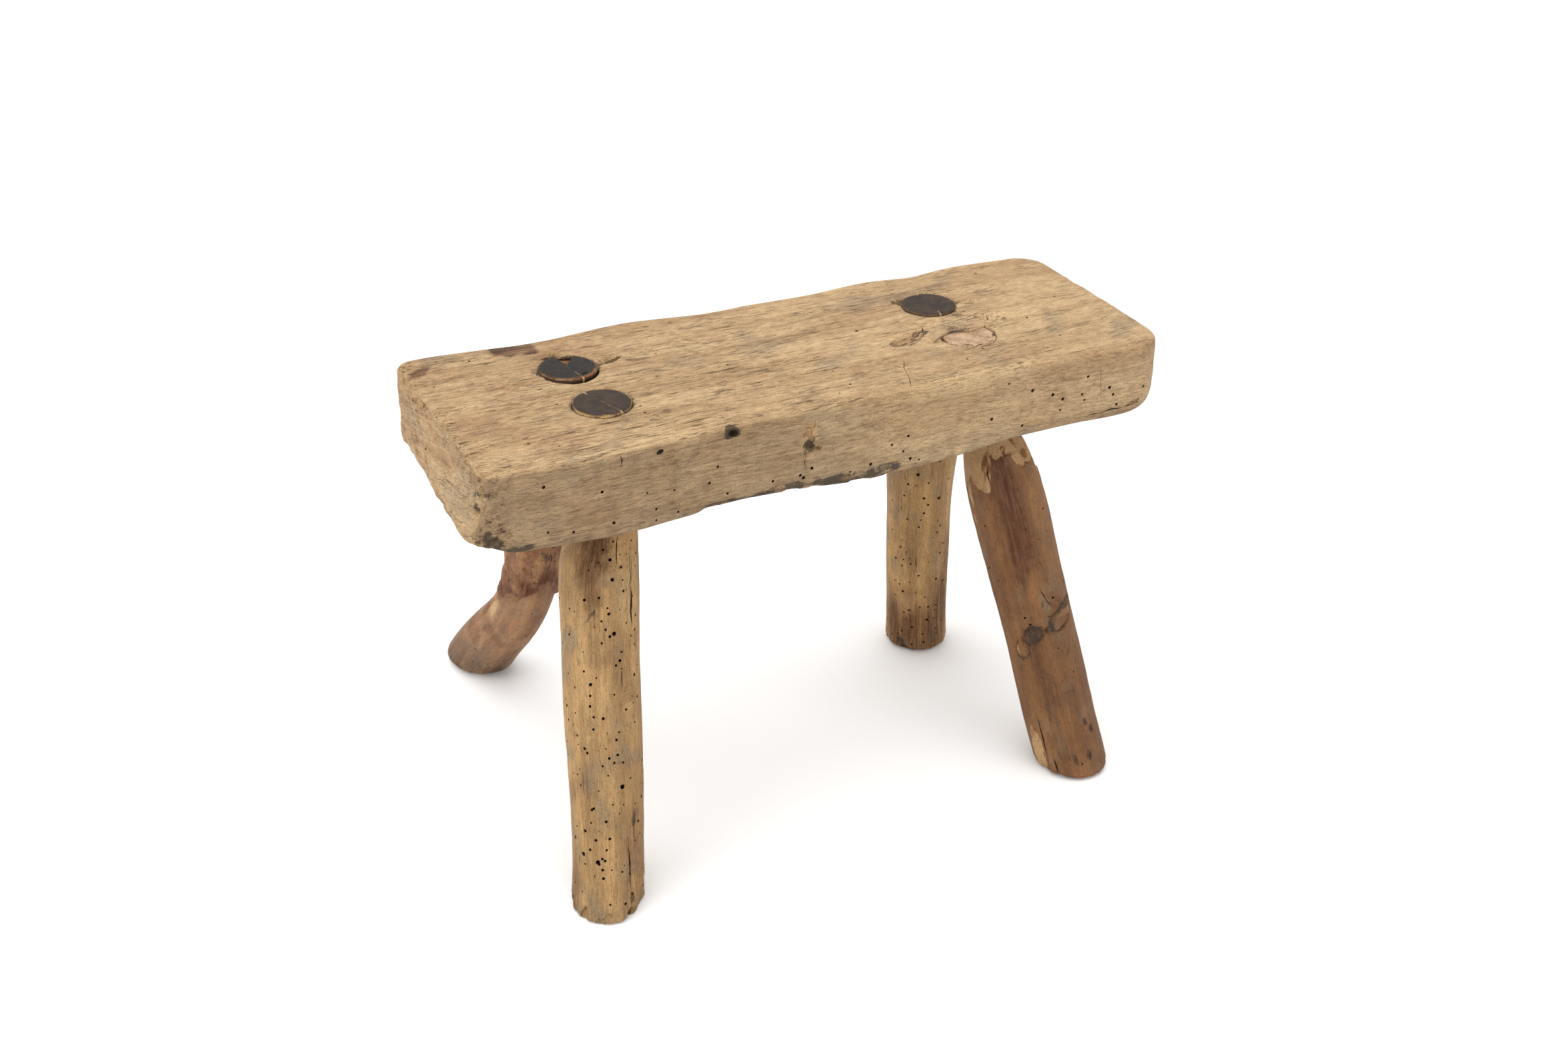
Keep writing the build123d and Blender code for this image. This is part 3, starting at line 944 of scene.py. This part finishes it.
def make_leg(name, slot, seed, shape, cut, layers, foot, knot=None):
    """Builds one leg: shape() says how far its surface moves out, cut() makes its holes and
    cracks, layers() gives what is painted on it, and foot is the radius its foot is worn to.
    The grain flows round the knot, which has a place and a size."""
    leg = Leg("leg_" + name, seed)
    sides = smooth(0.9, 0.6, np.abs(leg.normals[:, 2]))
    sides *= smooth(SEAT_TOP, SEAT_TOP - 40, leg.height)
    push = shape(leg) * sides
    moved = leg.points + leg.normals * push[:, None]
    moved[:, 2] = np.maximum(moved[:, 2], 0)
    out = moved[:, :2].T - leg.middle(moved[:, 2])
    moved[:, :2] -= (out * end_wear(moved, foot) / LEG_RADIUS).T
    write_points(leg.piece, moved)
    dress(leg.piece, slot)
    leg.cutters = Cutters(leg.piece, seed)
    cut(leg)
    leg.cutters.cut()
    leg.look()
    leg.paint(layers(leg), knot)
    settle(leg.piece, "leg_" + name)


def end_wear(points, foot):
    """How far a leg's rims are worn in: its foot's, to a radius, and its tenon's, unevenly."""
    height = points[:, 2]
    above = np.clip(height / foot, 0, 1)
    wear = 0.8 * foot * (1 - np.sqrt(1 - (1 - above) ** 2))
    wear += 1.5 * smooth(9, 0, height) * smooth(-0.1, 0.7, lumps(points, 6, 34))
    tenon = smooth(SEAT_TOP - 14, SEAT_TOP - 6, height)
    return wear + tenon * (0.35 + 0.5 * lumps(points, (7, 7, 40), 35))


def axe_limit(leg, facets):
    """How far from the centreline flat axe cuts leave the wood at each point. A facet has a turn,
    the height where it starts, how fast it deepens above that, and the step it starts with."""
    limit = np.full(len(leg.points), 99.0)
    for index, (turn, start, slope, step) in enumerate(facets):
        away = np.radians((leg.turn - turn + 180) % 360 - 180)
        above = leg.height - start - 4 * leg.lumps((5, 5, 9), 200 + index)
        flat = np.interp(leg.height, leg.heights, leg.radii_beside(turn)) - above * slope - step
        inside = (above > 0) & (np.abs(away) < 1.1)
        limit = np.where(inside, np.minimum(limit, flat / np.maximum(np.cos(away), 0.3)), limit)
    return limit


def pole(leg):
    """The unevenness that every leg has: long waves, flats and standing grain."""
    push = 0.6 * leg.lumps((22, 22, 70), leg.seed)
    push += 0.22 * leg.lumps((6, 6, 40), leg.seed + 1)
    return push + 0.12 * leg.lumps((3.2, 3.2, 18), leg.seed + 2)


BUMP = ((46, 117), 4)  # where the grain flows round a knot, and how widely


def shape_front_left(leg):
    push = pole(leg)
    push -= 2.6 * leg.patch((60, 2), (50, 11), 12)
    push += 1.6 * leg.patch((46, 117), (14, 7))
    push -= 0.9 * leg.patch((36, 118), (8, 9))
    push -= 0.7 * leg.patch((-4, 97), (12, 12))
    return push - 0.8 * leg.patch((-60, 84), (30, 14))


def cut_front_left(leg):
    chance = leg.cutters.chance
    leg.wormholes(1.25, (23, 187), (25, 158), (30, 76), (-36, 37), (-11, 35))
    leg.wormholes(0.9, (8, 203), (18, 169), (5, 178), (-42, 155), (19, 157), (13, 161))
    leg.wormholes(0.85, (27, 141), (33, 143), (-10, 126), (-6, 115), (-22, 97), (-18, 95))
    leg.wormholes(0.85, (33, 89), (13, 93), (25, 94), (4, 58), (-13, 65), (-16, 64), (-13, 47))
    leg.wormholes(0.95, (-23, 41), (3, 42), (-4, 37), (0, 36), (-4, 31), (-9, 34))
    leg.scatter(90, 8, 216, (0.65, 1.1), 5)
    leg.scatter(190, 8, 216, (0.4, 0.75), 3.4)
    leg.crack(0.7, 3.0, (31, 209), (28, 193))
    leg.crack(0.6, 3.0, (56, 202), (54, 190), (55, 175))
    leg.crack(1.5, 4.0, (54, 181), (55, 172), (54, 166), (56, 157))
    leg.crack(0.4, 1.5, (58, 196), (57, 180))
    leg.crack(0.5, 1.5, (36, 140), (35, 126))
    leg.crack(0.9, 3.0, (37, 46), (38, 32), (40, 16))
    leg.chip(39, 30, (3.6, 1.6, 2.5), 1)
    for turn in range(-100, 120, 28):
        leg.chip(turn + chance.uniform(-10, 10), chance.uniform(1, 5), (4, 3, 1.6))


def layers_front_left(leg):
    fine = leg.lumps(6, 47)
    soft = leg.lumps((18, 18, 40), 48)
    foot = smooth(14, 1, leg.height + 5 * fine)
    shade = 0.08 + 0.3 * smooth(-0.1, 0.6, soft) + 0.22 * smooth(120, 20, leg.height)
    shade += 0.3 * leg.patch((-27, 70), (14, 34))
    leg.ragged = 0.3 * fine
    dark = leg.stains(
        (0.62, (55, 110), (9, 4)),
        (0.6, (48, 51), (10, 14)),
        (0.5, (15, 38), (7, 6)),
        (0.8, (-33, 7), (9, 5)),
        (0.7, (44, 12), (9, 5)),
        (0.45, (-27, 78), (6, 14)),
        (0.62, (-7, 168), (13, 2.4), 28),
    )
    return {
        "dark": strongest(dark, 0.62 * foot * smooth(-0.3, 0.5, fine)),
        # Darker brown at the top of the leg under the plank: partly its own colour, partly the plank's
        # painted shadow.
        "shade": shade + 0.6 * leg.patch((-6, 198), (30, 42)),
        "grey": 0.15 + 0.5 * smooth(0.0, 0.7, leg.lumps(16, 49)) + 0.3 * foot,
        "red": 0.4 * leg.patch((48, 45), (18, 24)),
        "fissures": 0.3 + 0.3 * soft,
    }


def shape_back_right(leg):
    return pole(leg) - 1.4 * leg.patch((-32, 5), (14, 8))


def cut_back_right(leg):
    leg.wormholes(1.1, (5, 134), (33, 133), (-8, 153), (6, 122))
    leg.wormholes(0.9, (0, 69), (-17, 37), (18, 29), (-28, 34), (-11, 22), (12, 9), (-30, 53))
    leg.scatter(200, 6, 212, (0.5, 0.9), 4)
    leg.crack(0.6, 1.5, (-6, 86), (-5, 74))
    for turn in (-120, -70, -21, 40, 95, 150):
        leg.chip(turn, leg.cutters.chance.uniform(1, 6), (5, 3, 1.6))


def layers_back_right(leg):
    fine = leg.lumps(6, 57)
    soft = leg.lumps((16, 16, 50), 58)
    leg.ragged = 0.3 * fine
    foot = smooth(12, 1, leg.height + 4 * fine)
    low = smooth(120, 40, leg.height)
    return {
        "dark": strongest(
            0.6 * foot * smooth(-0.3, 0.5, fine),
            leg.stains((0.8, (-32, 6), (16, 9)), (0.45, (35, 68), (9, 9))),
        ),
        "shade": 0.06 + 0.15 * smooth(-0.2, 0.5, soft) + 0.7 * low * smooth(-0.3, 0.3, soft),
        "grey": strongest(
            0.05 + 0.4 * smooth(0.1, 0.7, leg.lumps(16, 59)),
            leg.stains((0.8, (-47, 117), (10, 12)), (0.8, (31, 76), (9, 17)), (0.8, (22, 98), (5, 8))),
        ),
        "red": 0.35 * low * smooth(-0.2, 0.5, leg.lumps((12, 12, 30), 60)),
        "fissures": 0.25 + 0.3 * soft,
        "rim": TENON_RADIUS + 1,
    }


FRONT_RIGHT_FACETS = (
    (-42, 184, 0.05, 0.4),
    (-12, 205, 0.06, 0.6),
    (16, 208, 0.08, 1.0),
    (46, 200, 0.07, 0.8),
    (-80, 176, 0.06, 0.5),
    (95, 190, 0.06, 0.6),
    (150, 186, 0.06, 0.5),
    (-135, 192, 0.06, 0.5),
)
DARK_KNOT = ((-12, 94), (26, 6), 11)
LIGHT_KNOT = ((-38, 83), (18, 7), 14)
RIDGED_KNOT = ((44, 105), (34, 6.5), 12)
FLAKING_SCAR = ((20, 116), (13, 9))
FOLD = (RIDGED_KNOT[0], 6)


def pleats(leg):
    """Upright folds in the lower half of the ridged knot, from 0 to 1."""
    return (0.5 + 0.5 * np.cos(np.radians(leg.turn * 30))) * smooth(107, 101, leg.height)


def shape_front_right(leg):
    limit = axe_limit(leg, FRONT_RIGHT_FACETS)
    push = pole(leg) * np.where(limit < leg.distance, 0.3, 1.0)
    push += np.minimum(limit - leg.distance, 0)
    push -= 1.2 * leg.patch((-52, 12), (16, 22))
    leg.ragged = 0.2 * leg.lumps(5, 66)
    push += 0.9 * leg.patch(*DARK_KNOT) - 1.2 * leg.outline(*DARK_KNOT, 0.25)
    push -= 0.7 * leg.patch((-10, 94), (8, 2.2), 8)
    push += 0.5 * leg.patch(*LIGHT_KNOT) - 0.6 * leg.outline(*LIGHT_KNOT)
    push += leg.patch(*RIDGED_KNOT, 0.4) * (1.4 - 0.9 * pleats(leg))
    push -= 1.2 * leg.outline(*RIDGED_KNOT)
    return push + 0.7 * leg.patch(*FLAKING_SCAR) * smooth(0.0, 0.1, leg.lumps((4, 4, 5), 65))


def cut_front_right(leg):
    chance = leg.cutters.chance
    leg.wormholes(0.8, (-17, 106), (-11, 102), (-66, 131), (58, 171), (36, 118))
    leg.scatter(26, 8, 200, (0.35, 0.7), 9)
    leg.crack(0.8, 2.0, (-24, 200), (-23, 188))
    leg.crack(0.5, 1.0, (-27, 201), (-20, 201.5))
    leg.crack(0.6, 1.0, (18, 126), (20, 121), (25, 117), (30, 113))
    leg.crack(0.5, 0.8, (28, 118), (31, 112))
    leg.crack(0.35, 0.5, (10, 190), (14, 180), (17, 172), (16, 166), (20, 158))
    leg.crack(0.25, 0.4, (4, 152), (5, 143), (7, 136))
    leg.crack(0.4, 0.5, (-6, 140), (0, 141))
    leg.crack(0.35, 0.5, (26, 144), (30, 137))
    leg.crack(1.2, 4.0, (-39, 42), (-39, 25), (-42, 3))
    leg.crack(1.2, 3.0, (-27, 14), (-24, 2))
    leg.crack(0.5, 0.6, (34, 80), (44, 86))
    for turn, height in ((39, 38), (48, 32), (31, 16), (8, 14)):
        leg.chip(turn, height, (2.4, 1.8, 0.7))
    middle_x, middle_y = LIGHT_TENON[0] + 1, LIGHT_TENON[1]
    for _ in range(16):
        x, y = middle_x + chance.uniform(-12, 12), middle_y - 5 + chance.uniform(-8, 8)
        size = (chance.uniform(4, 9), chance.uniform(1.0, 2.4), chance.uniform(0.25, 0.5))
        place, _ = leg.cutters.strike((x, y, SEAT_TOP + 30), (0, 0, -1))
        if place.z > SEAT_TOP - 1:
            leg.cutters.chip((place, Vector((0, 0, 1))), (1, 0.35, 0), size)
    for angle in (195, 240, 262, 300, 338):
        x = middle_x + 16 * math.cos(math.radians(angle))
        y = middle_y + 16 * math.sin(math.radians(angle))
        spot = leg.cutters.strike((x, y, SEAT_TOP + 30), (0, 0, -1))
        leg.cutters.chip(spot, (1, 0.35, 0), (3, 1.5, chance.uniform(0.8, 1.6)), 0, 1.6)


def layers_front_right(leg):
    fine = leg.lumps(6, 67)
    soft = leg.lumps((18, 18, 45), 68)
    leg.ragged = 0.2 * leg.lumps(5, 66)
    limit = axe_limit(leg, FRONT_RIGHT_FACETS)
    cut = smooth(1.0, 0.4, np.abs(leg.distance - limit)) * (leg.height < SEAT_TOP - 5)
    keep = 1 - cut
    ridge = leg.patch(*RIDGED_KNOT, 0.4)
    flakes = leg.patch(*FLAKING_SCAR)
    band = leg.patch((-4, 172), (34, 62))
    dark = strongest(
        0.62 * smooth(8, 1, leg.height + 3 * fine) * smooth(-0.2, 0.5, fine),
        leg.stains(
            (0.8, (39, 38), (6, 4), -12),
            (0.8, (48, 32), (6, 4), -12),
            (0.7, (32, 17), (8, 6), -12),
            (0.6, (8, 15), (14, 6), -12),
            (0.6, (-58, 155), (4, 4), -12),
            (0.45, (-60, 168), (4, 7), -12),
            (0.66, *DARK_KNOT, 0.3),
        ),
        0.8 * leg.outline(*DARK_KNOT, 0.24),
        0.7 * leg.outline(*LIGHT_KNOT, 0.24),
        0.75 * leg.outline(*RIDGED_KNOT, 0.24),
        0.55 * smooth(0.42, 0.7, leg.lumps((2.2, 2.2, 3.2), 64)),
        0.6 * ridge * pleats(leg),
        0.7 * flakes * smooth(0.2, 0.5, leg.lumps((2, 2, 4), 65)),
    )
    pale = strongest(
        cut * (0.68 + 0.36 * leg.lumps((4, 4, 16), 63)),
        0.5 * ridge * smooth(101, 106, leg.height),
        leg.stains(
            (0.6, (-60, 12), (22, 30)),
            (0.42, *LIGHT_KNOT, 0.3),
            (0.55, (-72, 172), (12, 24)),
        ),
    )
    grey = strongest(0.1 + 0.25 * smooth(0.1, 0.7, leg.lumps(14, 69)), 0.45 * flakes)
    shade = 0.3 * smooth(-0.2, 0.5, soft) + 0.6 * band + 0.3 * leg.patch((0, 60), (28, 75))
    return {
        "dark": dark,
        "pale": pale,
        "red": (0.3 * band + 0.25 * smooth(0.0, 0.6, soft)) * keep,
        "grey": grey * keep,
        "shade": shade * keep + 0.3 * cut,
        "fissures": 0.12 + 0.25 * soft,
    }


def bark_share(leg):
    """1 where the back left leg still has its bark, and 0 where it has fallen away."""
    edge = 98 + 7 * np.sin(np.radians(leg.turn * 2 + 40)) - 5 * np.cos(np.radians(leg.turn * 5))
    return smooth(-0.8, 0.8, leg.height + 4 * leg.lumps(6, 75) - edge)


def bark_flakes(leg):
    """Layers of peeling bark, from 0 to 4, with sharp and ragged edges."""
    depth = leg.lumps((10, 10, 15), 76) + 0.4 * leg.lumps((4, 4, 6), 77)
    return sum(smooth(level - 0.06, level + 0.06, depth) for level in (-0.45, -0.1, 0.2, 0.5))


def bark_pits(leg):
    """Small pits in the bark, each as deep in millimetres as it is dark."""
    return bark_share(leg) * 0.6 * smooth(0.25, 0.7, leg.lumps((3, 3, 9), 73))


def shape_back_left(leg):
    push = 0.7 * pole(leg)
    push += bark_share(leg) * (0.3 + 0.4 * bark_flakes(leg))
    return push - bark_pits(leg) - 1.5 * leg.patch((-75, 68), (30, 26))


def cut_back_left(leg):
    leg.wormholes(0.7, (-31, 31), (-17, 17), (10, 18), (15, 14), (29, 23), (32, 57))
    leg.scatter(26, 8, 200, (0.35, 0.65), 8)
    leg.crack(0.7, 1.2, (30, 138), (35, 130), (33, 118))
    notch = [(-130, 50), (-125.5, 34), (-115, 49)]
    levels = (SEAT_TOP - 3.5, SEAT_TOP - 1.5, SEAT_TOP + 6)
    leg.cutters.loft([[Vector((*at, level)) for at in notch] for level in levels], 0)
    spot = leg.cutters.strike((-120, 19, SEAT_TOP + 30), (0, 0, -1))
    leg.cutters.chip(spot, (1, 0.3, 0), (2.4, 1.3, 1.2))


def layers_back_left(leg):
    fine = leg.lumps(6, 78)
    soft = leg.lumps((16, 16, 24), 79)
    bark = bark_share(leg)
    flakes = bark_flakes(leg)
    foot = smooth(48, 8, leg.height + 10 * soft)
    dark = strongest(
        0.5 * foot * smooth(0.0, 0.6, fine) + 0.35 * smooth(6, 1, leg.height),
        bark * 2.88 * (flakes % 1) * (1 - flakes % 1),
        bark_pits(leg),
        2.4 * bark * (1 - bark),
        0.45 * smooth(0.45, 0.7, leg.lumps(3, 81)) * smooth(60, 20, leg.height),
    )
    pale = 0.6 * leg.patch((-75, 68), (26, 24)) + 0.35 * bark * smooth(2.6, 3.4, flakes)
    broken_end = (leg.height > SEAT_TOP - 6) & (leg.points[:, 1] > 34.5)
    splinters = smooth(0.0, 0.4, leg.lumps((5, 1.5, 2), 82))
    return {
        "dark": np.where(broken_end, 0.5 * (1 - splinters), dark),
        "grey": 0.15 + 0.42 * foot + 0.3 * smooth(0.2, 0.6, fine) * (1 - bark),
        "red": 0.25 * smooth(0.0, 0.5, soft) + bark * (0.3 + 0.5 * smooth(2.5, 0.5, flakes)),
        "pale": np.where(broken_end & (leg.height < SEAT_TOP), splinters, pale),
        "shade": 0.45 * bark * smooth(3, 0, flakes) + 0.5 * smooth(-0.1, 0.6, soft) + 0.6 * foot,
        "fissures": 0.15 + 0.2 * bark,
    }


# ---- Wedges -------------------------------------------------------------------------
def make_wedge(node, seed, broken=0, darkening=0.8):
    """A thin wedge, a little crooked, its beaten top worn with the tenon's and stained but for
    its two ends. Its top is broken off at the back, so many millimetres down."""
    piece = even_copy(node, WEDGE_VOXEL)
    points, normals = read_points(piece)
    push = 0.16 * lumps(points, (5, 5, 9), seed) - 0.1
    moved = points + normals * push[:, None]
    moved[:, 2] -= broken * smooth(33, 38, moved[:, 1]) * smooth(SEAT_TOP - 8, SEAT_TOP - 3, moved[:, 2])
    write_points(piece, moved)
    dress(piece, "wedge_wood")
    points, normals = read_points(piece)
    paint(piece, "grain", points)
    middle = (points.min(axis=0) + points.max(axis=0)) / 2
    away = np.hypot(points[:, 0] - middle[0], points[:, 1] - middle[1])
    worn = smooth(13, 10, away + 2 * lumps(points, 4, seed + 1))
    paint_layers(piece, dark=darkening * worn, pale=0.7 - 0.85 * darkening * worn)
    settle(piece, node)


# ---- Floor and light ------------------------------------------------------------------
def make_stage():
    """A plain near-white floor under even, soft light."""
    bpy.ops.mesh.primitive_plane_add(size=12, location=(0, 0, -0.0003))
    floor = bpy.context.object
    floor.name = "floor"
    paper = bpy.data.materials.new("floor_paper")
    paper.use_nodes = True
    surface = paper.node_tree.nodes["Principled BSDF"]
    surface.inputs["Base Color"].default_value = (0.93, 0.93, 0.93, 1)
    surface.inputs["Roughness"].default_value = 0.9
    surface.inputs["Specular IOR Level"].default_value = 0.1
    floor.data.materials.append(paper)


def make_light(name, place, size, power, aim):
    """A square soft box aimed at a point."""
    lamp = bpy.data.lights.new(name, "AREA")
    lamp.shape = "SQUARE"
    lamp.size = size
    lamp.energy = power
    light = bpy.data.objects.new(name, lamp)
    light.location = place
    light.rotation_euler = (Vector(place) - Vector(aim)).to_track_quat("Z", "Y").to_euler()
    bpy.context.scene.collection.objects.link(light)


def make_world():
    world = bpy.data.worlds.new("studio")
    world.use_nodes = True
    background = world.node_tree.nodes["Background"]
    background.inputs["Color"].default_value = (1.0, 0.995, 0.985, 1)
    background.inputs["Strength"].default_value = 1.0
    bpy.context.scene.world = world
    bpy.context.scene.view_settings.view_transform = "Standard"


# ---- Camera --------------------------------------------------------------------
TILT_DOWN = 5.29  # how the camera is turned, in degrees, from looking at the plank's middle
TURN_LEFT = 0.07
ROLL = 1.06


def make_camera():
    """The viewpoint: in front, to the left and above, looking past the plank to the floor."""
    offset = Vector((-449.2, -888.5, 449.4)) * MM
    place = (-offset).to_track_quat("-Z", "Y").to_matrix().to_4x4()
    for degrees, axis in ((-TILT_DOWN, "X"), (TURN_LEFT, "Y"), (ROLL, "Z")):
        place = place @ Matrix.Rotation(math.radians(degrees), 4, axis)
    lens = bpy.data.cameras.new("camera")
    lens.sensor_width = 36
    lens.lens = 42.6
    lens.clip_start = 0.05
    lens.clip_end = 30
    camera = bpy.data.objects.new("camera", lens)
    place.translation = MIDDLE + Vector((0, 0, SEAT_TOP * MM)) + offset
    camera.matrix_world = place
    bpy.context.scene.collection.objects.link(camera)
    bpy.context.scene.camera = camera


make_camera()
make_stage()
make_world()
for light in (
    ("overhead", (-0.3, 0.1, 2.4), 3.0, 48, (0, 0, 0.2)),
    ("left", (-2.6, -0.2, 1.3), 1.8, 23, (0, 0, 0.15)),
    ("front_right", (1.5, -2.4, 0.7), 1.4, 12, (0.05, 0, 0.2)),
):
    make_light(*light)
make_seat()
for parts in (
    ("front_left", "pale_leg_wood", 41, shape_front_left, cut_front_left, layers_front_left, 2.5, BUMP),
    ("back_right", "pale_leg_wood", 51, shape_back_right, cut_back_right, layers_back_right, 4),
    ("front_right", "brown_leg_wood", 61, shape_front_right, cut_front_right, layers_front_right, 6, FOLD),
    ("back_left", "bark_leg_wood", 71, shape_back_left, cut_back_left, layers_back_left, 9),
):
    make_leg(*parts)
make_wedge("wedge_front_left", 90)
make_wedge("wedge_front_right", 92, darkening=0.1)
make_wedge("wedge_back_left", 94, 4)
make_wedge("wedge_back_right", 96)
